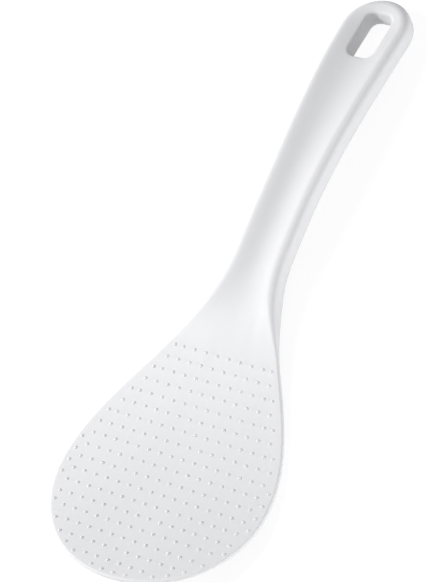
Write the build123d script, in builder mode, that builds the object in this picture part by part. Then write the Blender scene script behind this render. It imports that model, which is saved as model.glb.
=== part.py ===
from build123d import *
import os
from math import acos, atan2, cos, hypot, pi, radians, sin, sqrt

os.makedirs("parts", exist_ok=True)

# Rice paddle, one moulding in millimetres, lying face up on a table at Z = 0.
# X runs across it, Y from the tip of the blade to the end of the handle.
# A run is a distance along the middle of its upper face, measured from the
# belly, where the nubs under the blade touch the table.

# Blade
blade_width = 70.8
blade_thickness = 1.6
blade_radius = 165.0
blade_edge_radius = 0.75
tip_length = 31.9
widest_run = -20.1

# Neck, where the blade thickens and its edges rise into the rims of the handle
neck_start_run = 22.4
neck_end_run = 41.4
neck_angle = radians(11.43)

# Handle
waist_width = 17.7
waist_run = 53.1
waist_length = 14.5
grip_width = 22.6
grip_run = 132.5
handle_radius = 255.0
handle_web = 4.6
dish_depth = 1.6
rim_radius = 2.2
foot_radius = 1.6

# Hanging slot
slot_width = 8.8
slot_length = 15.7
slot_corner_radius = 2.6
slot_end_bar = 5.4
slot_edge_radius = 0.8
slot_foot_radius = 0.4

# Nubs of both faces of the blade, in a square grid that single nubs close along the edge
nub_pitch = 4.0
nub_width = 1.0
nub_height = 0.45
nub_crown = 0.35
nub_neck_gap = 1.5
nub_grid_margin = 2.9
nub_edge_margin = 1.6
nub_close_share = 0.75
nub_flank_gap_share = 1.25
nub_tip_gap_share = 0.6

# Even steps of the two lofts
blade_steps = 6
shank_steps = 15

# The side view is two tangent arcs: the blade's, hollow upwards, and then the handle's, arched.
# The arch comes back down until the rounded foot of its end touches the table.
overrun = blade_thickness
blade_centre_height = nub_height + blade_thickness + blade_radius
neck_run = blade_radius * neck_angle
both_radii = blade_radius + handle_radius
arch_centre_height = blade_centre_height - both_radii * cos(neck_angle)
foot_reach = grip_width / 2 - foot_radius
foot_arch_radius = handle_radius - handle_web + foot_radius
foot_share = (foot_radius - arch_centre_height) / hypot(foot_arch_radius, foot_reach)
end_angle = acos(foot_share) - atan2(foot_reach, foot_arch_radius)
end_run = neck_run + handle_radius * (neck_angle + end_angle)

# Furthest points of the outline, from the belly
widest_angle = widest_run / blade_radius
tip_rise = blade_radius - sqrt(blade_radius**2 - tip_length**2) - blade_thickness / 2
tip_y = blade_radius * sin(widest_angle) - tip_length * cos(widest_angle) - tip_rise * sin(widest_angle)
end_y = both_radii * sin(neck_angle) + handle_radius * sin(end_angle) + grip_width / 2 * cos(end_angle)
belly_y = -(tip_y + end_y) / 2


def swell(run, start, end):
    """Smooth step from 0 to 1 between two runs."""
    share = min(max((run - start) / (end - start), 0), 1)
    return (1 - cos(pi * share)) / 2


def between(first, last, share):
    """Value a given share of the way from one size to another."""
    return first + (last - first) * share


def half_width(run):
    """Half the width of the paddle from the widest place to the end."""
    flare = swell(run, waist_run + waist_length, grip_run)
    handle = between(waist_width, grip_width, flare)
    return between(blade_width, handle, swell(run, widest_run, waist_run)) / 2


def station(run):
    """Plane square to the face at a run, with its X across and its Y up from the face."""
    if run < neck_run:
        slope = run / blade_radius
        y = blade_radius * sin(slope)
        z = blade_centre_height - blade_radius * cos(slope)
    else:
        slope = neck_angle - (run - neck_run) / handle_radius
        y = both_radii * sin(neck_angle) - handle_radius * sin(slope)
        z = arch_centre_height + handle_radius * cos(slope)
    return Plane(origin=(0, belly_y + y, z), x_dir=(1, 0, 0), z_dir=(0, -cos(slope), -sin(slope)))


def face_plane(run, across=0):
    """Plane that touches the face at a run, some way across it, with its Z up from the face."""
    plane = station(run)
    return Plane(origin=plane.from_local_coords((across, 0)), x_dir=plane.x_dir, z_dir=plane.y_dir)


def edge_lines(run):
    """Foot, wall and rim of the right edge at a run. Returns where the foot starts and the rim ends."""
    growth = swell(run, neck_start_run, neck_end_run)
    depth = dish_depth * growth
    underside = -between(blade_thickness, handle_web, growth)
    rim = between(blade_edge_radius, rim_radius, growth)
    foot = between(blade_edge_radius, foot_radius, growth)
    side = half_width(run)
    rim_centre = side - rim
    # A dish arc that is tangent to both rims leaves each of them here.
    shrink = 1 - 2 * depth * rim / (rim_centre**2 + depth**2)
    lip = (rim_centre * shrink, depth * shrink)
    sole = (side - foot, underside)
    TangentArc(sole, (side, underside + foot), tangent=(1, 0))
    Line((side, underside + foot), (side, depth - rim))
    TangentArc((side, depth - rim), lip, tangent=(0, 1))
    return sole, lip


def section(run):
    """Closed section of the paddle at a run."""
    with BuildSketch(station(run)) as face:
        with BuildLine():
            sole, lip = edge_lines(run)
            mirror(about=Plane.YZ)
            Line((-sole[0], sole[1]), sole)
            if run <= neck_start_run:
                Line((-lip[0], lip[1]), lip)
            else:
                ThreePointArc((-lip[0], lip[1]), (0, 0), lip)
        make_face()
    return face.sketch


def reach(run, margin):
    """How far across the blade reaches at a run, less a margin along its edge."""
    if run > widest_run:
        return half_width(run) - margin
    share = min((widest_run - run) / (tip_length - margin), 1)
    return (blade_width / 2 - margin) * sqrt(1 - share**2)


def columns(run):
    """How many columns of the grid have a nub at a run, right of the middle."""
    return int(reach(run, nub_grid_margin) / nub_pitch + 1 / 2)


def nub_places():
    """Place of each nub on one face, as its distance across and its run."""
    first_run = neck_start_run - nub_neck_gap
    rows = int((first_run - widest_run + tip_length - nub_grid_margin) / nub_pitch) + 1
    most = columns(widest_run)
    side = (most - 1 / 2 + nub_close_share) * nub_pitch
    places = []
    for run in [first_run - row * nub_pitch for row in range(rows)]:
        last = (columns(run) - 1 / 2) * nub_pitch
        gap = half_width(max(run, widest_run)) - last
        places += [((column + 1 / 2) * nub_pitch, run) for column in range(columns(run))]
        if run > widest_run and columns(run) < most and gap > nub_flank_gap_share * nub_pitch:
            places.append((last + nub_close_share * nub_pitch, run))
        if reach(run - nub_pitch / 2, nub_edge_margin) > side:
            places.append((side, run - nub_pitch / 2))
    for column in range(most):
        across = (column + 1 / 2) * nub_pitch
        edge_share = across / (blade_width / 2 - nub_edge_margin)
        edge_run = widest_run - (tip_length - nub_edge_margin) * sqrt(1 - edge_share**2)
        last_run = min(run for place, run in places if place == across)
        if last_run - edge_run > nub_tip_gap_share * nub_pitch:
            places.append((across, edge_run))
    return places + [(-across, run) for across, run in places]


def nub_spots(low_run, high_run):
    """Where the pairs of nubs between two runs stand."""
    return [face_plane(run, across).location for across, run in nub_places() if low_run < run < high_run]


# Pair of nubs: a short pin through the blade, domed at both ends
with BuildPart() as nub_pair:
    with BuildSketch(Plane.XZ) as nub_profile:
        with BuildLine():
            top = (0, nub_height)
            top_shoulder = (nub_width / 2, nub_height - nub_crown)
            low = (0, -blade_thickness - nub_height)
            low_shoulder = (nub_width / 2, nub_crown - blade_thickness - nub_height)
            TangentArc(top, top_shoulder, tangent=(1, 0))
            TangentArc(low, low_shoulder, tangent=(1, 0))
            Line(top_shoulder, low_shoulder)
            Line(top, low)
        make_face()
    revolve(axis=Axis.Z)

# Tip: half an ellipse, cut from a plate that is curved like the blade
with BuildPart() as tip:
    with BuildSketch(Plane.YZ) as plate:
        with Locations((belly_y, blade_centre_height)):
            Circle(blade_radius + blade_thickness)
            Circle(blade_radius, mode=Mode.SUBTRACT)
    extrude(amount=blade_width, both=True)
    with BuildSketch(face_plane(widest_run)) as outline:
        Ellipse(blade_width / 2, tip_length)
    extrude(amount=tip_length, both=True, mode=Mode.INTERSECT)
    fillet(tip.edges(), blade_edge_radius)
    split(bisect_by=station(widest_run), keep=Keep.TOP)
    with Locations(*nub_spots(widest_run - tip_length, widest_run)):
        add(nub_pair.part)

# Rest of the blade, from its widest place to the neck
blade_runs = [between(widest_run, neck_start_run, step / blade_steps) for step in range(blade_steps + 1)]
with BuildPart() as blade:
    loft(sections=[section(run) for run in blade_runs])
    with Locations(*nub_spots(widest_run, neck_start_run)):
        add(nub_pair.part)

# Shank: the neck and the handle, up to the middle of the round end
shank_runs = [between(neck_start_run, end_run, step / shank_steps) for step in range(shank_steps + 1)]
with BuildPart() as shank:
    loft(sections=[section(run) for run in shank_runs])

# End: half of the last section, turned through half a circle
end_plane = station(end_run)
with BuildPart() as end:
    with BuildSketch(end_plane) as half_section:
        with BuildLine():
            sole, lip = edge_lines(end_run)
            Polyline(sole, (0, sole[1]), (0, 0))
            TangentArc((0, 0), lip, tangent=(1, 0))
        make_face()
    revolve(axis=Axis(end_plane.origin, end_plane.y_dir), revolution_arc=180)

# Whole paddle, with its hanging slot
slot_run = end_run + grip_width / 2 - slot_end_bar - slot_length / 2
slot_plane = face_plane(slot_run)
with BuildPart() as paddle:
    add(tip.part)
    add(blade.part)
    add(shank.part)
    add(end.part)
    with BuildSketch(slot_plane) as slot:
        RectangleRounded(slot_width, slot_length, slot_corner_radius)
    extrude(amount=handle_web + overrun, both=True, mode=Mode.SUBTRACT)
    slot_axis = Axis(slot_plane.origin, slot_plane.z_dir)
    slot_edges = paddle.edges(Select.LAST).filter_by(slot_axis, reverse=True).sort_by(slot_axis)
    fillet(slot_edges[: len(slot_edges) // 2], slot_foot_radius)
    fillet(slot_edges[len(slot_edges) // 2 :], slot_edge_radius)

paddle.part.label = "paddle"
export_step(paddle.part, "parts/paddle.step")
print("bounds", paddle.part.bounding_box())
print("volume", paddle.part.volume, "valid", paddle.part.is_valid, "solids", len(paddle.part.solids()))
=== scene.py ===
from math import acos, asin, atan, atan2, cos, hypot, pi, radians, sin, sqrt

import bmesh
import bpy
import numpy as np
from bpy.props import FloatProperty, FloatVectorProperty, PointerProperty
from bpy.types import Operator, Panel, PropertyGroup
from mathutils import Euler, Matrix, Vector
from mathutils.geometry import delaunay_2d_cdt


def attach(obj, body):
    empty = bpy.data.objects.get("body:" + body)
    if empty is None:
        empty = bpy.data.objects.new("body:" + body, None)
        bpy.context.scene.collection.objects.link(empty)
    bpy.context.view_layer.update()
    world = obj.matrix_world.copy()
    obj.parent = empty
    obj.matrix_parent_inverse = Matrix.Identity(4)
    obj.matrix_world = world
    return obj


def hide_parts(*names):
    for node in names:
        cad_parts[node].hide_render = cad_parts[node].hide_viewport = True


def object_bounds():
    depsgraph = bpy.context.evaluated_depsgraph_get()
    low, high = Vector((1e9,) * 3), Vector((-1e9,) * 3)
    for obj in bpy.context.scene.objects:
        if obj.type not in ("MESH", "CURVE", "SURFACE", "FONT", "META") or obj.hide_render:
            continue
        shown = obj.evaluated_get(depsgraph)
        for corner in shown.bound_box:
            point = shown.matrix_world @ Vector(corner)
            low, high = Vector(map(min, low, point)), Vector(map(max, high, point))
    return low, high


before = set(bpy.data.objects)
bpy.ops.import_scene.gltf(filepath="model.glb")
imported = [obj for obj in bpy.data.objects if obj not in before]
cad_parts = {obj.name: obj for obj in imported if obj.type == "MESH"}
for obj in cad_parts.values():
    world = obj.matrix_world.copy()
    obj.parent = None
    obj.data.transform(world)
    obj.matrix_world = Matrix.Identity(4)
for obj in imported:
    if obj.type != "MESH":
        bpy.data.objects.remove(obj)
CAD_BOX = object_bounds()

bl_info = {
    "name": "Rice Paddle",
    "version": (1, 0, 0),
    "blender": (4, 5, 0),
    "location": "3D View > Sidebar > Rice Paddle",
    "description": "Moulded white rice paddle with a nubbed blade and a dished handle",
    "category": "Add Mesh",
}

MM = 0.001
NODE = "paddle"
FLOOR_HEIGHT = CAD_BOX[0][2]

# How finely the mesh follows the shape
TIP_STATIONS = 52
SHANK_STATIONS = 110
END_STATIONS = 26
FOOT_STEPS = 6
WALL_STEPS = 2
RIM_STEPS = 10
NUB_SIDES = 16
DOME_STEPS = 3
SLOT_CORNER_STEPS = 7
SLOT_EDGE_STEPS = 6
SLOT_WALL_STEPS = 3
FACE_SPACING = 1.6 * MM
ACROSS_FINENESS = 1.5
BORDER_GAP_SHARE = 0.45
ROOT_RING_SHARE = 0.3
FLAT_DEPTH = 0.001 * MM
WELD_MILLIMETRES = 1e-6

# Noises that the plastic's colour and roughness come from, and its clearness
NOISE_ROUGHNESS = 0.55
CLOUD_SPAN = (0.35, 0.65)
CLOUD_STRETCH = (1, 0.5, 1)
SCUFF_SPAN = (0.3, 0.7)
SCUFF_STRETCH = (1, 0.22, 1)
PLASTIC_IOR = 1.49
LIGHT_REACH = 1.5 * MM
LIGHT_REACH_SHARES = (1.0, 0.9, 0.8)

# Colour of the light from all round
SKY_COLOUR = (0.98, 0.99, 1, 1)

# Numbers of the sockets that a colour mix uses
MIX_FACTOR, MIX_FIRST, MIX_SECOND, MIX_RESULT = 0, 6, 7, 2


def length(name, description, millimetres):
    """Property for a length that is named and described for the user."""
    return FloatProperty(
        name=name, description=description, default=millimetres * MM, unit="LENGTH", precision=5
    )


def angle_value(name, description, degrees):
    """Property for an angle, given in degrees."""
    return FloatProperty(name=name, description=description, default=radians(degrees), subtype="ANGLE")


def number_value(name, description, value):
    """Property for a plain number."""
    return FloatProperty(name=name, description=description, default=value)


def colour_value(name, description, value):
    """Property for a colour."""
    return FloatVectorProperty(
        name=name, description=description, default=value, subtype="COLOR", size=3, min=0, max=1
    )


class PaddleSizes(PropertyGroup):
    """Sizes of the moulding, the same as those of its solid."""

    blade_width: length("Blade width", "Width of the blade at its widest place", 70.8)
    blade_thickness: length("Blade thickness", "Wall of the blade", 1.6)
    blade_radius: length("Blade radius", "Radius of the blade's hollow in the side view", 165.0)
    blade_edge_radius: length("Blade edge radius", "Rounding of the blade's edge", 0.75)
    tip_length: length("Tip length", "From the widest place to the tip", 31.9)
    widest_run: length("Widest place", "Where the blade is widest, from the belly", -20.1)
    neck_start_run: length("Neck start", "Where the blade begins to thicken", 22.4)
    neck_end_run: length("Neck end", "Where the handle has its full thickness", 41.4)
    neck_angle: angle_value("Neck angle", "Slope at which blade and handle meet", 11.43)
    waist_width: length("Waist width", "Narrowest width of the handle", 17.7)
    waist_run: length("Waist place", "Where the waist begins", 53.1)
    waist_length: length("Waist length", "Length that keeps the waist's width", 14.5)
    grip_width: length("Grip width", "Widest width of the handle", 22.6)
    grip_run: length("Grip place", "Where the grip is widest", 132.5)
    handle_radius: length("Handle radius", "Radius of the handle's arch in the side view", 255.0)
    handle_web: length("Handle web", "Wall between dish and underside", 4.6)
    dish_depth: length("Dish depth", "How far the rims stand above the middle of the dish", 1.6)
    rim_radius: length("Rim radius", "Rounding of the rims", 2.2)
    foot_radius: length("Foot radius", "Rounding along the underside", 1.6)
    slot_width: length("Slot width", "Width of the hanging slot", 8.8)
    slot_length: length("Slot length", "Length of the hanging slot", 15.7)
    slot_corner_radius: length("Slot corner radius", "Rounding of the slot's corners", 2.6)
    slot_end_bar: length("Slot end bar", "Plastic between the slot and the end", 5.4)
    slot_edge_radius: length("Slot edge radius", "Rounding of the slot's upper edge", 0.8)
    slot_foot_radius: length("Slot foot radius", "Rounding of the slot's lower edge", 0.4)


class NubSizes(PropertyGroup):
    """Sizes of the nubs and of the grid that they stand in."""

    pitch: length("Pitch", "Distance between the nubs of a row, and between rows", 4.0)
    width: length("Width", "Width of a nub", 1.0)
    height: length("Height", "Height of a nub", 0.45)
    crown: length("Crown", "Height of a nub's domed top", 0.35)
    root: length("Root", "Small rounding where a nub meets the blade", 0.08)
    collar: length("Collar", "Flat ring round a nub that keeps the blade's face even", 0.2)
    neck_gap: length("Neck gap", "From the start of the neck to the first row", 1.5)
    grid_margin: length("Grid margin", "Least distance from the edge to the nubs of the grid", 2.9)
    edge_margin: length("Edge margin", "Distance from the edge to the single nubs", 1.6)
    close_share: number_value("Closing share", "Share of the pitch to a closing nub", 0.75)
    flank_gap_share: number_value("Flank gap share", "Share of the pitch that a closing nub fills", 1.25)
    tip_gap_share: number_value("Tip gap share", "Share of the pitch that a nub at the tip fills", 0.6)


class PlasticLook(PropertyGroup):
    """Finish of the white polypropylene."""

    colour: colour_value("Colour", "Colour of the plastic", (0.80, 0.80, 0.81))
    shade: colour_value("Shade", "Slightly deeper tone of its cloudy flow marks", (0.785, 0.785, 0.797))
    roughness_low: number_value("Lowest roughness", "Roughness where it is rubbed", 0.52)
    roughness_high: number_value("Highest roughness", "Roughness where it is matt", 0.64)
    translucency: number_value("Translucency", "Weight of the light under the skin", 0.12)
    cloud_size: length("Cloud size", "Size of the cloudy flow marks", 22.0)
    grain_size: length("Grain size", "Size of the fine moulded grain", 0.35)
    grain_height: length("Grain height", "Height of the fine moulded grain", 0.004)
    scuff_size: length("Scuff size", "Spacing of the faint scuffs of use", 3.0)
    sink_size: length("Sink size", "Size of the soft waves in the surface", 14.0)
    sink_height: length("Sink height", "Height of the soft waves in the surface", 0.004)


class StudioSettings(PropertyGroup):
    """Camera, floor and lamps."""

    camera_place: FloatVectorProperty(
        name="Camera place", description="Where the camera stands", subtype="TRANSLATION", size=3,
        default=(0.51469, -0.24998, 0.75972),
    )
    camera_turn: FloatVectorProperty(
        name="Camera turn", description="How the camera is turned", subtype="EULER", size=3,
        default=(0.505246, 0.437639, 0.482101),
    )
    camera_lens: number_value("Lens", "Focal length on a 36 mm sensor, in millimetres", 204.8)
    floor_colour: colour_value("Floor colour", "Colour that the floor reflects", (0.93, 0.93, 0.935))
    floor_glow: number_value("Floor glow", "White that the camera sees in shadow too", 0.89)
    floor_shadow: number_value("Floor shadow", "Part of the shadow that the camera sees", 0.2)
    floor_width: length("Floor width", "Width of the floor", 6000.0)
    lamp_distance: length("Lamp distance", "How far the lamps stand off", 900.0)
    key_turn: angle_value("Key turn", "Direction of the key lamp, from the paddle's right side", 195.0)
    key_rise: angle_value("Key rise", "Height of the key lamp above the floor", 42.0)
    key_width: length("Key width", "Width of the key lamp", 400.0)
    key_height: length("Key height", "Height of the key lamp", 360.0)
    key_strength: number_value("Key strength", "Power of the key lamp", 7.55)
    fill_turn: angle_value("Fill turn", "Direction of the low lamp, from the paddle's right side", 345.0)
    fill_rise: angle_value("Fill rise", "Height of the low lamp above the floor", 5.0)
    fill_width: length("Fill width", "Width of the low lamp", 1000.0)
    fill_height: length("Fill height", "Height of the low lamp", 140.0)
    fill_strength: number_value("Fill strength", "Power of the low lamp", 4.92)
    sky_strength: number_value("Sky strength", "Strength of the light from all round", 0.36)


def swell(run, start, end):
    """Smooth step from 0 to 1 between two runs."""
    share = min(max((run - start) / (end - start), 0), 1)
    return (1 - cos(pi * share)) / 2


def between(first, last, share):
    """Value a given share of the way from one size to another."""
    return first + (last - first) * share


class PaddleShape:
    """The paddle's faces and edges, from the same arcs as its solid."""

    def __init__(self, sizes, nubs):
        s = self.sizes = sizes
        self.nubs = nubs
        self.blade_centre_height = nubs.height + s.blade_thickness + s.blade_radius
        self.neck_run = s.blade_radius * s.neck_angle
        self.both_radii = s.blade_radius + s.handle_radius
        self.arch_centre_height = self.blade_centre_height - self.both_radii * cos(s.neck_angle)
        foot_reach = s.grip_width / 2 - s.foot_radius
        foot_arch_radius = s.handle_radius - s.handle_web + s.foot_radius
        foot_share = (s.foot_radius - self.arch_centre_height) / hypot(foot_arch_radius, foot_reach)
        end_angle = acos(foot_share) - atan2(foot_reach, foot_arch_radius)
        self.end_run = self.neck_run + s.handle_radius * (s.neck_angle + end_angle)
        widest = s.widest_run / s.blade_radius
        rise = s.blade_radius - sqrt(s.blade_radius**2 - s.tip_length**2) - s.blade_thickness / 2
        tip_y = s.blade_radius * sin(widest) - s.tip_length * cos(widest) - rise * sin(widest)
        end_y = (
            self.both_radii * sin(s.neck_angle)
            + s.handle_radius * sin(end_angle)
            + s.grip_width / 2 * cos(end_angle)
        )
        self.belly_y = -(tip_y + end_y) / 2
        self.end_lip = self.edge_corners(self.end_run)[1]

    def half_width(self, run):
        """Half the width of the paddle from the widest place to the end."""
        s = self.sizes
        flare = swell(run, s.waist_run + s.waist_length, s.grip_run)
        handle = between(s.waist_width, s.grip_width, flare)
        return between(s.blade_width, handle, swell(run, s.widest_run, s.waist_run)) / 2

    def station(self, run):
        """Middle of the face at a run, and the directions there along the paddle and up from the face."""
        s = self.sizes
        if run < self.neck_run:
            slope = run / s.blade_radius
            y = s.blade_radius * sin(slope)
            z = self.blade_centre_height - s.blade_radius * cos(slope)
        else:
            slope = s.neck_angle - (run - self.neck_run) / s.handle_radius
            y = self.both_radii * sin(s.neck_angle) - s.handle_radius * sin(slope)
            z = self.arch_centre_height + s.handle_radius * cos(slope)
        middle = Vector((0, self.belly_y + y, z))
        return middle, Vector((0, cos(slope), sin(slope))), Vector((0, -sin(slope), cos(slope)))

    def edge_sizes(self, run):
        """Depth of the dish, height of the underside, and radii of rim and foot at a run."""
        s = self.sizes
        growth = swell(run, s.neck_start_run, s.neck_end_run)
        return (
            s.dish_depth * growth,
            -between(s.blade_thickness, s.handle_web, growth),
            between(s.blade_edge_radius, s.rim_radius, growth),
            between(s.blade_edge_radius, s.foot_radius, growth),
        )

    def edge_corners(self, run):
        """Where the foot of the edge starts and where its rim ends, across and up."""
        depth, underside, rim, foot = self.edge_sizes(run)
        side = self.half_width(run)
        centre = side - rim
        shrink = 1 - 2 * depth * rim / (centre**2 + depth**2)
        return (side - foot, underside), (centre * shrink, depth * shrink)

    def dish(self, across, lip):
        """Height of the dish some way from the middle, where it ends in a lip."""
        if lip[1] < FLAT_DEPTH:
            return 0
        radius = (lip[0] ** 2 + lip[1] ** 2) / (2 * lip[1])
        return radius - sqrt(max(radius**2 - across**2, 0))

    def face_point(self, across, run, upper):
        """Point of the upper face or the underside."""
        if run > self.end_run:
            middle, along, up = self.station(self.end_run)
            middle = middle + along * (run - self.end_run)
            height = self.dish(hypot(across, run - self.end_run), self.end_lip)
            under = -self.sizes.handle_web
        else:
            middle, _, up = self.station(run)
            height = self.dish(across, self.edge_corners(run)[1])
            under = self.edge_sizes(run)[1]
        return middle + Vector((across, 0, 0)) + up * (height if upper else under)

    def edge_profile(self, run):
        """Points from the lip round the rim, down the wall and round the foot, across and up."""
        depth, underside, rim, foot = self.edge_sizes(run)
        side = self.half_width(run)
        lip = self.edge_corners(run)[1]
        rim_height, foot_height = depth - rim, underside + foot
        lip_angle = atan2(lip[1] - rim_height, lip[0] - (side - rim))
        points = []
        for step in range(RIM_STEPS):
            angle = lip_angle * (1 - step / RIM_STEPS)
            points.append((side - rim + rim * cos(angle), rim_height + rim * sin(angle)))
        for step in range(WALL_STEPS):
            points.append((side, between(rim_height, foot_height, step / WALL_STEPS)))
        for step in range(FOOT_STEPS + 1):
            angle = -pi / 2 * step / FOOT_STEPS
            points.append((side - foot + foot * cos(angle), foot_height + foot * sin(angle)))
        return points

    def tip_profile(self, turn):
        """Points of the edge of the tip at a turn, and the places where it leaves both faces."""
        s = self.sizes
        half, tall, edge = s.blade_width / 2, s.tip_length, s.blade_edge_radius
        outline = Vector((half * sin(turn), -tall * cos(turn)))
        outward = Vector((sin(turn) / half, -cos(turn) / tall)).normalized()
        inner = outline[1] - edge * outward[1]
        upper_radius, under_radius = s.blade_radius, s.blade_radius + s.blade_thickness
        upper_slope = inner / sqrt(upper_radius**2 - inner**2) * outward[1]
        under_slope = inner / sqrt(under_radius**2 - inner**2) * outward[1]
        upper_centre = s.blade_radius - sqrt(upper_radius**2 - inner**2) - edge * sqrt(1 + upper_slope**2)
        under_centre = s.blade_radius - sqrt(under_radius**2 - inner**2) + edge * sqrt(1 + under_slope**2)
        profile = []
        for step in range(RIM_STEPS):
            angle = (pi / 2 + atan(upper_slope)) * (1 - step / RIM_STEPS)
            profile.append((edge * cos(angle) - edge, upper_centre + edge * sin(angle)))
        for step in range(WALL_STEPS):
            profile.append((0, between(upper_centre, under_centre, step / WALL_STEPS)))
        for step in range(FOOT_STEPS + 1):
            angle = -(pi / 2 - atan(under_slope)) * step / FOOT_STEPS
            profile.append((edge * cos(angle) - edge, under_centre + edge * sin(angle)))
        middle, along, up = self.station(s.widest_run)
        points = []
        for out, height in profile:
            place = outline + outward * out
            points.append(middle + Vector((place[0], 0, 0)) + along * place[1] + up * height)
        lip = outline + outward * profile[0][0]
        sole = outline + outward * profile[-1][0]
        lip_run = s.widest_run + s.blade_radius * asin(lip[1] / upper_radius)
        sole_run = s.widest_run + s.blade_radius * asin(sole[1] / under_radius)
        return points, (lip[0], lip_run), (sole[0], sole_run)

    def edge_rows(self):
        """Rows of edge points round the right half, from tip to end, and where each meets both faces."""
        s = self.sizes
        rows = [self.tip_profile(pi / 2 * step / TIP_STATIONS) for step in range(TIP_STATIONS)]
        for step in range(SHANK_STATIONS):
            run = between(s.widest_run, self.end_run, step / SHANK_STATIONS)
            middle, _, up = self.station(run)
            profile = self.edge_profile(run)
            points = [middle + Vector((out, 0, 0)) + up * height for out, height in profile]
            rows.append((points, (profile[0][0], run), (profile[-1][0], run)))
        middle, along, up = self.station(self.end_run)
        profile = self.edge_profile(self.end_run)
        for step in range(END_STATIONS + 1):
            turn = pi / 2 * step / END_STATIONS
            ray = Vector((cos(turn), 0, 0)) + along * sin(turn)
            points = [middle + ray * out + up * height for out, height in profile]
            reaches = (profile[0][0], profile[-1][0])
            lip, sole = [(out * cos(turn), self.end_run + out * sin(turn)) for out in reaches]
            rows.append((points, lip, sole))
        return rows

    def reach(self, run, margin):
        """How far across the blade reaches at a run, less a margin along its edge."""
        s = self.sizes
        if run > s.widest_run:
            return self.half_width(run) - margin
        share = min((s.widest_run - run) / (s.tip_length - margin), 1)
        return (s.blade_width / 2 - margin) * sqrt(1 - share**2)

    def columns(self, run):
        """How many columns of the grid have a nub at a run, right of the middle."""
        return int(self.reach(run, self.nubs.grid_margin) / self.nubs.pitch + 1 / 2)

    def nub_places(self):
        """Place of each nub on one face, as its distance across and its run."""
        s, n = self.sizes, self.nubs
        first_run = s.neck_start_run - n.neck_gap
        rows = int((first_run - s.widest_run + s.tip_length - n.grid_margin) / n.pitch) + 1
        most = self.columns(s.widest_run)
        side = (most - 1 / 2 + n.close_share) * n.pitch
        places = []
        last_runs = {}
        for row in range(rows):
            run = first_run - row * n.pitch
            count = self.columns(run)
            last = (count - 1 / 2) * n.pitch
            gap = self.half_width(max(run, s.widest_run)) - last
            for column in range(count):
                places.append(((column + 1 / 2) * n.pitch, run))
                last_runs[column] = run
            if run > s.widest_run and count < most and gap > n.flank_gap_share * n.pitch:
                places.append((last + n.close_share * n.pitch, run))
            if self.reach(run - n.pitch / 2, n.edge_margin) > side:
                places.append((side, run - n.pitch / 2))
        for column in range(most):
            across = (column + 1 / 2) * n.pitch
            edge_share = across / (s.blade_width / 2 - n.edge_margin)
            edge_run = s.widest_run - (s.tip_length - n.edge_margin) * sqrt(1 - edge_share**2)
            if last_runs[column] - edge_run > n.tip_gap_share * n.pitch:
                places.append((across, edge_run))
        return places + [(-across, run) for across, run in places]

    def nub_profile(self):
        """Radius and height of each ring of a nub, from its flat collar to just under its top."""
        n = self.nubs
        radius = n.width / 2
        dome_radius = (radius**2 + n.crown**2) / (2 * n.crown)
        root_ring = n.root * ROOT_RING_SHARE
        rings = [(radius + n.collar, 0), (radius + n.root, 0)]
        rings += [(radius + root_ring, root_ring), (radius, n.root)]
        widest_angle = asin(radius / dome_radius)
        for step in range(DOME_STEPS):
            angle = widest_angle * (1 - step / DOME_STEPS)
            rings.append((dome_radius * sin(angle), n.height - dome_radius * (1 - cos(angle))))
        return rings

    def slot_outline(self):
        """Points round the slot, across and along, with the direction into the plastic at each."""
        s = self.sizes
        round_radius = s.slot_corner_radius
        wide, tall = s.slot_width / 2 - round_radius, s.slot_length / 2 - round_radius
        points = []
        corners = ((wide, tall, 0), (-wide, tall, 1), (-wide, -tall, 2), (wide, -tall, 3))
        for index, (across, along, quarter) in enumerate(corners):
            for step in range(SLOT_CORNER_STEPS + 1):
                angle = pi / 2 * (quarter + step / SLOT_CORNER_STEPS)
                outward = Vector((cos(angle), sin(angle)))
                points.append((Vector((across, along)) + outward * round_radius, outward))
            following = corners[(index + 1) % len(corners)]
            start, outward = points[-1]
            stop = Vector((following[0], following[1])) + outward * round_radius
            steps = max(round((stop - start).length / (round_radius / 2)), 2)
            for step in range(1, steps):
                points.append((start.lerp(stop, step / steps), outward))
        return points


def inside(points, loop):
    """Which of an array of flat points lie inside a closed loop."""
    x, y = points[:, 0][:, None], points[:, 1][:, None]
    x0, y0 = loop[:, 0], loop[:, 1]
    x1, y1 = np.roll(x0, -1), np.roll(y0, -1)
    crosses = (y0 > y) != (y1 > y)
    rise = np.where(y1 == y0, 1, y1 - y0)
    return (crosses & (x < x0 + (y - y0) * (x1 - x0) / rise)).sum(axis=1) % 2 == 1


def away_from(points, others, distance):
    """Which of an array of flat points keep a distance from all others."""
    gaps = np.hypot(points[:, 0][:, None] - others[:, 0], points[:, 1][:, None] - others[:, 1])
    return gaps.min(axis=1) > distance


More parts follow.
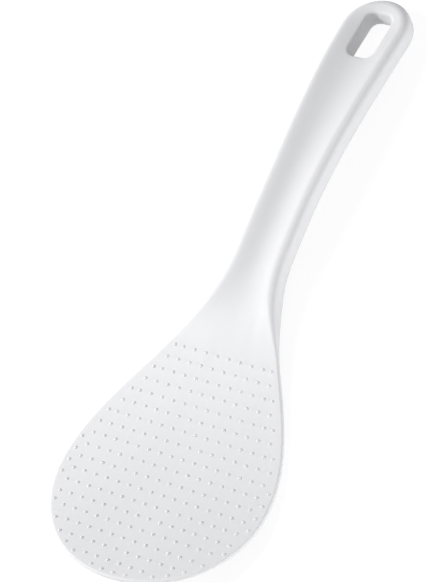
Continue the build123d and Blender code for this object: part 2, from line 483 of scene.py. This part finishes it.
class Skin:
    """Points and faces of the paddle's closed skin."""

    def __init__(self, shape):
        self.shape = shape
        self.points = []
        self.faces = []

    def add(self, points):
        """Adds points and returns their numbers."""
        first = len(self.points)
        self.points += points
        return list(range(first, len(self.points)))

    def band(self, ring, following):
        """Four-sided faces between two closed rings with the same number of points."""
        for index in range(len(ring)):
            turn = (index + 1) % len(ring)
            self.faces.append((ring[index], ring[turn], following[turn], following[index]))

    def edge(self):
        """Edge all round the paddle. Returns the flat places and point numbers of both its borders."""
        rows = self.shape.edge_rows()
        mirrored = []
        for points, lip, sole in reversed(rows[1:-1]):
            left = [Vector((-point[0], point[1], point[2])) for point in points]
            mirrored.append((left, (-lip[0], lip[1]), (-sole[0], sole[1])))
        rows += mirrored
        numbers = [self.add(points) for points, lip, sole in rows]
        for index, row in enumerate(numbers):
            following = numbers[(index + 1) % len(numbers)]
            for step in range(len(row) - 1):
                self.faces.append((row[step], row[step + 1], following[step + 1], following[step]))
        lips = ([lip for points, lip, sole in rows], [row[0] for row in numbers])
        soles = ([sole for points, lip, sole in rows], [row[-1] for row in numbers])
        return lips, soles

    def nub(self, across, run, upper):
        """One nub. Returns the flat places and point numbers of its collar."""
        up = self.shape.station(min(run, self.shape.end_run))[2]
        outward = up if upper else -up
        rings = []
        for radius, height in self.shape.nub_profile():
            places = []
            for side in range(NUB_SIDES):
                turn = 2 * pi * side / NUB_SIDES
                places.append((across + radius * cos(turn), run + radius * sin(turn)))
            points = [self.shape.face_point(*place, upper) + outward * height for place in places]
            rings.append((places, self.add(points)))
        for ring, following in zip(rings, rings[1:]):
            self.band(ring[1], following[1])
        top = self.add([self.shape.face_point(across, run, upper) + outward * self.shape.nubs.height])[0]
        last = rings[-1][1]
        for index in range(NUB_SIDES):
            self.faces.append((last[index], last[(index + 1) % NUB_SIDES], top))
        return rings[0]

    def slot(self):
        """Walls of the hanging slot. Returns the flat places and point numbers of both its borders."""
        s = self.shape.sizes
        slot_run = self.shape.end_run + s.grip_width / 2 - s.slot_end_bar - s.slot_length / 2
        axis = self.shape.station(slot_run)[2]
        outline = self.shape.slot_outline()
        borders = []
        inner_rings = []
        for upper in (True, False):
            into = -axis if upper else axis
            radius = s.slot_edge_radius if upper else s.slot_foot_radius
            rings = []
            for step in range(SLOT_EDGE_STEPS + 1):
                angle = pi / 2 * step / SLOT_EDGE_STEPS
                offset = radius * (1 - sin(angle))
                depth = radius * (1 - cos(angle))
                flat = [place + outward * offset for place, outward in outline]
                places = [(place[0], slot_run + place[1]) for place in flat]
                points = [self.shape.face_point(*place, upper) + into * depth for place in places]
                rings.append((places, self.add(points)))
            for ring, following in zip(rings, rings[1:]):
                self.band(ring[1], following[1])
            borders.append(rings[0])
            inner_rings.append(rings[-1][1])
        top, low = inner_rings
        previous = top
        for step in range(1, SLOT_WALL_STEPS):
            share = step / SLOT_WALL_STEPS
            points = [self.points[a].lerp(self.points[b], share) for a, b in zip(top, low)]
            ring = self.add(points)
            self.band(previous, ring)
            previous = ring
        self.band(previous, low)
        return borders

    def face_grid(self):
        """Flat places that the inside of a face is divided at, on a grid in step with the nubs."""
        shape, s, n = self.shape, self.shape.sizes, self.shape.nubs
        step = n.pitch / 2
        first_run = s.neck_start_run - n.neck_gap
        places = []
        for row in range(int((first_run - s.widest_run + s.tip_length) / step) + 1):
            run = first_run - row * step
            for column in range(-int(s.blade_width / 2 / step), int(s.blade_width / 2 / step) + 1):
                places.append((column * step, run))
        rows = int((shape.end_run + s.grip_width / 2 - first_run) / FACE_SPACING)
        for row in range(1, rows + 1):
            run = first_run + row * FACE_SPACING
            half = shape.edge_corners(min(run, shape.end_run))[1][0]
            count = round(half / FACE_SPACING * ACROSS_FINENESS)
            for column in range(-count, count + 1):
                places.append((half * column / (count + 1 / 2), run))
        return np.array(places)

    def fill(self, border, slot_border, upper):
        """Fills one face between its border, the collars of its nubs and the slot."""
        nub_places = self.shape.nub_places()
        collars = [self.nub(across, run, upper) for across, run in nub_places]
        flat = []
        numbers = []
        edges = []
        for places, ring in [border, slot_border] + collars:
            first = len(flat)
            flat += places
            numbers += ring
            edges += [(first + i, first + (i + 1) % len(ring)) for i in range(len(ring))]
        outline, hole, centres = np.array(border[0]), np.array(slot_border[0]), np.array(nub_places)
        grid = self.face_grid()
        gap = FACE_SPACING * BORDER_GAP_SHARE
        keep = inside(grid, outline) & ~inside(grid, hole)
        keep &= away_from(grid, outline, gap) & away_from(grid, hole, gap)
        keep &= away_from(grid, centres, self.shape.nubs.width)
        extra = [tuple(place) for place in grid[keep]]
        numbers += self.add([self.shape.face_point(across, run, upper) for across, run in extra])
        flat += extra
        scaled = [Vector((place[0] / MM, place[1] / MM)) for place in flat]
        vertices, _, triangles, origins, _, _ = delaunay_2d_cdt(scaled, edges, [], 0, WELD_MILLIMETRES, True)
        if len(vertices) != len(flat):
            raise RuntimeError("The borders of a face of the paddle cross each other.")
        corners = np.array([[tuple(vertices[i]) for i in triangle] for triangle in triangles])
        middles = corners.sum(axis=1) / 3 * MM
        collar_reach = (self.shape.nubs.width / 2 + self.shape.nubs.collar) * cos(pi / NUB_SIDES)
        wanted = inside(middles, outline) & ~inside(middles, hole)
        wanted &= away_from(middles, centres, collar_reach)
        for triangle, want in zip(triangles, wanted):
            if want:
                self.faces.append(tuple(numbers[origins[i][0]] for i in triangle))

    def build(self, name):
        """Makes the mesh object, and stops if its skin isn't closed."""
        lips, soles = self.edge()
        upper_slot, under_slot = self.slot()
        self.fill(lips, upper_slot, True)
        self.fill(soles, under_slot, False)
        mesh = bpy.data.meshes.new(name)
        mesh.from_pydata([tuple(point) for point in self.points], [], self.faces)
        skin = bmesh.new()
        skin.from_mesh(mesh)
        bmesh.ops.recalc_face_normals(skin, faces=skin.faces)
        if not all(edge.is_manifold for edge in skin.edges):
            raise RuntimeError("The skin of the paddle isn't closed.")
        for face in skin.faces:
            face.smooth = True
        skin.to_mesh(mesh)
        skin.free()
        paddle = bpy.data.objects.new(name, mesh)
        bpy.context.collection.objects.link(paddle)
        return paddle


class Recipe:
    """Node tree of a material, with short ways to add and link nodes."""

    def __init__(self, tree):
        self.tree = tree
        tree.nodes.clear()

    def add(self, kind, inputs=(), **settings):
        """Adds a node, sets it up and feeds its inputs from values or from other nodes' outputs."""
        node = self.tree.nodes.new(kind)
        for setting, value in settings.items():
            setattr(node, setting, value)
        self.feed(node, dict(inputs))
        return node

    def feed(self, node, inputs):
        """Feeds a node's inputs from values or from other nodes' outputs."""
        for socket, value in inputs.items():
            if isinstance(value, bpy.types.NodeSocket):
                self.tree.links.new(value, node.inputs[socket])
            else:
                node.inputs[socket].default_value = value


def white_plastic(look):
    """White polypropylene: cloudy flow marks, a fine moulded grain, soft waves and faint scuffs."""
    material = bpy.data.materials.new("white_polypropylene")
    material.use_nodes = True
    recipe = Recipe(material.node_tree)
    place = recipe.add("ShaderNodeTexCoord").outputs["Object"]

    def noise(size, detail, stretch=(1, 1, 1)):
        """Noise of a size and a depth of detail, drawn out along the axes whose stretch is under 1."""
        where = recipe.add("ShaderNodeMapping", {"Vector": place, "Scale": stretch}).outputs["Vector"]
        settings = {"Vector": where, "Scale": 1 / size, "Detail": detail, "Roughness": NOISE_ROUGHNESS}
        return recipe.add("ShaderNodeTexNoise", settings).outputs["Fac"]

    def spread(value, span, low=0, high=1):
        """Spreads a span of a noise over the values from low to high."""
        settings = {"Value": value, "From Min": span[0], "From Max": span[1], "To Min": low, "To Max": high}
        return recipe.add("ShaderNodeMapRange", settings).outputs["Result"]

    cloud = spread(noise(look.cloud_size, 3, CLOUD_STRETCH), CLOUD_SPAN)
    tones = {MIX_FACTOR: cloud, MIX_FIRST: (*look.shade, 1), MIX_SECOND: (*look.colour, 1)}
    mix = recipe.add("ShaderNodeMix", data_type="RGBA")
    recipe.feed(mix, tones)
    scuffs = noise(look.scuff_size, 6, SCUFF_STRETCH)
    waves = {"Height": noise(look.sink_size, 1), "Distance": look.sink_height, "Strength": 1.0}
    grain = {"Height": noise(look.grain_size, 2), "Distance": look.grain_height, "Strength": 1.0}
    grain["Normal"] = recipe.add("ShaderNodeBump", waves).outputs["Normal"]
    plastic = recipe.add(
        "ShaderNodeBsdfPrincipled",
        {
            "Base Color": mix.outputs[MIX_RESULT],
            "Roughness": spread(scuffs, SCUFF_SPAN, look.roughness_low, look.roughness_high),
            "Normal": recipe.add("ShaderNodeBump", grain).outputs["Normal"],
            "IOR": PLASTIC_IOR,
            "Subsurface Weight": look.translucency,
            "Subsurface Radius": LIGHT_REACH_SHARES,
            "Subsurface Scale": LIGHT_REACH,
        },
    )
    recipe.add("ShaderNodeOutputMaterial", {"Surface": plastic.outputs["BSDF"]})
    return material


def floor_paper(studio):
    """Pale paper that shows white behind the paddle and keeps the paddle's shadow."""
    material = bpy.data.materials.new("floor_paper")
    material.use_nodes = True
    recipe = Recipe(material.node_tree)
    rays = recipe.add("ShaderNodeLightPath").outputs
    seen = rays["Is Camera Ray"]
    for ray in ("Is Glossy Ray", "Is Transmission Ray"):
        seen = recipe.add("ShaderNodeMath", {0: seen, 1: rays[ray]}, operation="MAXIMUM").outputs[0]
    paper = recipe.add("ShaderNodeBsdfDiffuse", {"Color": (*studio.floor_colour, 1)})
    glow = recipe.add("ShaderNodeEmission", {"Strength": studio.floor_glow / (1 - studio.floor_shadow)})
    shares = {0: studio.floor_shadow, 1: glow.outputs[0], 2: paper.outputs[0]}
    lit = recipe.add("ShaderNodeMixShader", shares)
    shown = recipe.add("ShaderNodeMixShader", {0: seen, 1: paper.outputs[0], 2: lit.outputs[0]})
    recipe.add("ShaderNodeOutputMaterial", {"Surface": shown.outputs[0]})
    return material


def soft_lamp(name, turn, rise, distance, size, power):
    """Large rectangular lamp that stands off in a direction and faces the paddle."""
    towards = Vector((cos(rise) * cos(turn), cos(rise) * sin(turn), sin(rise)))
    lamp = bpy.data.lights.new(name, "AREA")
    lamp.shape = "RECTANGLE"
    lamp.size, lamp.size_y = size
    lamp.energy = power
    holder = bpy.data.objects.new(name, lamp)
    holder.location = towards * distance
    holder.rotation_euler = towards.to_track_quat("Z", "Y").to_euler()
    holder.visible_camera = False
    bpy.context.collection.objects.link(holder)


class RICEPADDLE_OT_add_paddle(Operator):
    """Adds the moulded paddle with its blade, nubs, neck, dished handle and hanging slot"""

    bl_idname = "rice_paddle.add_paddle"
    bl_label = "Add Paddle"

    def execute(self, context):
        scene = context.scene
        paddle = Skin(PaddleShape(scene.paddle_sizes, scene.paddle_nubs)).build("rice_paddle_moulding")
        paddle.data.materials.append(white_plastic(scene.paddle_plastic))
        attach(paddle, "root")
        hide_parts(NODE)
        return {"FINISHED"}


class RICEPADDLE_OT_add_stage(Operator):
    """Adds the floor, the camera and the soft lamps"""

    bl_idname = "rice_paddle.add_stage"
    bl_label = "Add Stage"

    def execute(self, context):
        studio = context.scene.paddle_studio
        half = studio.floor_width / 2
        mesh = bpy.data.meshes.new("floor")
        corners = [(x * half, y * half, FLOOR_HEIGHT) for x, y in ((-1, -1), (1, -1), (1, 1), (-1, 1))]
        mesh.from_pydata(corners, [], [(0, 1, 2, 3)])
        mesh.materials.append(floor_paper(studio))
        floor = bpy.data.objects.new("floor", mesh)
        context.collection.objects.link(floor)

        lens = bpy.data.cameras.new("camera")
        lens.lens = studio.camera_lens
        camera = bpy.data.objects.new("camera", lens)
        camera.location = studio.camera_place
        camera.rotation_euler = Euler(studio.camera_turn)
        context.collection.objects.link(camera)
        context.scene.camera = camera

        distance = studio.lamp_distance
        key_size = (studio.key_width, studio.key_height)
        fill_size = (studio.fill_width, studio.fill_height)
        soft_lamp("key_lamp", studio.key_turn, studio.key_rise, distance, key_size, studio.key_strength)
        soft_lamp("fill_lamp", studio.fill_turn, studio.fill_rise, distance, fill_size, studio.fill_strength)
        world = bpy.data.worlds.new("studio")
        world.use_nodes = True
        recipe = Recipe(world.node_tree)
        sky = recipe.add("ShaderNodeBackground", {"Color": SKY_COLOUR, "Strength": studio.sky_strength})
        recipe.add("ShaderNodeOutputWorld", {"Surface": sky.outputs["Background"]})
        context.scene.world = world
        context.scene.view_settings.view_transform = "Standard"
        return {"FINISHED"}


class RICEPADDLE_PT_panel(Panel):
    """Lists the paddle's operators and settings"""

    bl_label = "Rice Paddle"
    bl_idname = "RICEPADDLE_PT_panel"
    bl_space_type = "VIEW_3D"
    bl_region_type = "UI"
    bl_category = "Rice Paddle"

    def draw(self, context):
        layout = self.layout
        for operator in OPERATORS:
            layout.operator(operator.bl_idname)
        for name in SETTINGS:
            box = layout.box()
            settings = getattr(context.scene, name)
            for key in settings.__annotations__:
                box.prop(settings, key)


SETTINGS = {
    "paddle_sizes": PaddleSizes,
    "paddle_nubs": NubSizes,
    "paddle_plastic": PlasticLook,
    "paddle_studio": StudioSettings,
}
OPERATORS = (RICEPADDLE_OT_add_paddle, RICEPADDLE_OT_add_stage)
CLASSES = (*SETTINGS.values(), *OPERATORS, RICEPADDLE_PT_panel)


def register():
    """Registers the classes and adds the settings to the scene."""
    for cls in CLASSES:
        bpy.utils.register_class(cls)
    for name, cls in SETTINGS.items():
        setattr(bpy.types.Scene, name, PointerProperty(type=cls))


def unregister():
    """Takes the settings from the scene and unregisters the classes."""
    for name in SETTINGS:
        delattr(bpy.types.Scene, name)
    for cls in reversed(CLASSES):
        bpy.utils.unregister_class(cls)


def main():
    """Builds the paddle and its stage."""
    register()
    bpy.ops.rice_paddle.add_paddle()
    bpy.ops.rice_paddle.add_stage()


if __name__ == "__main__":
    main()
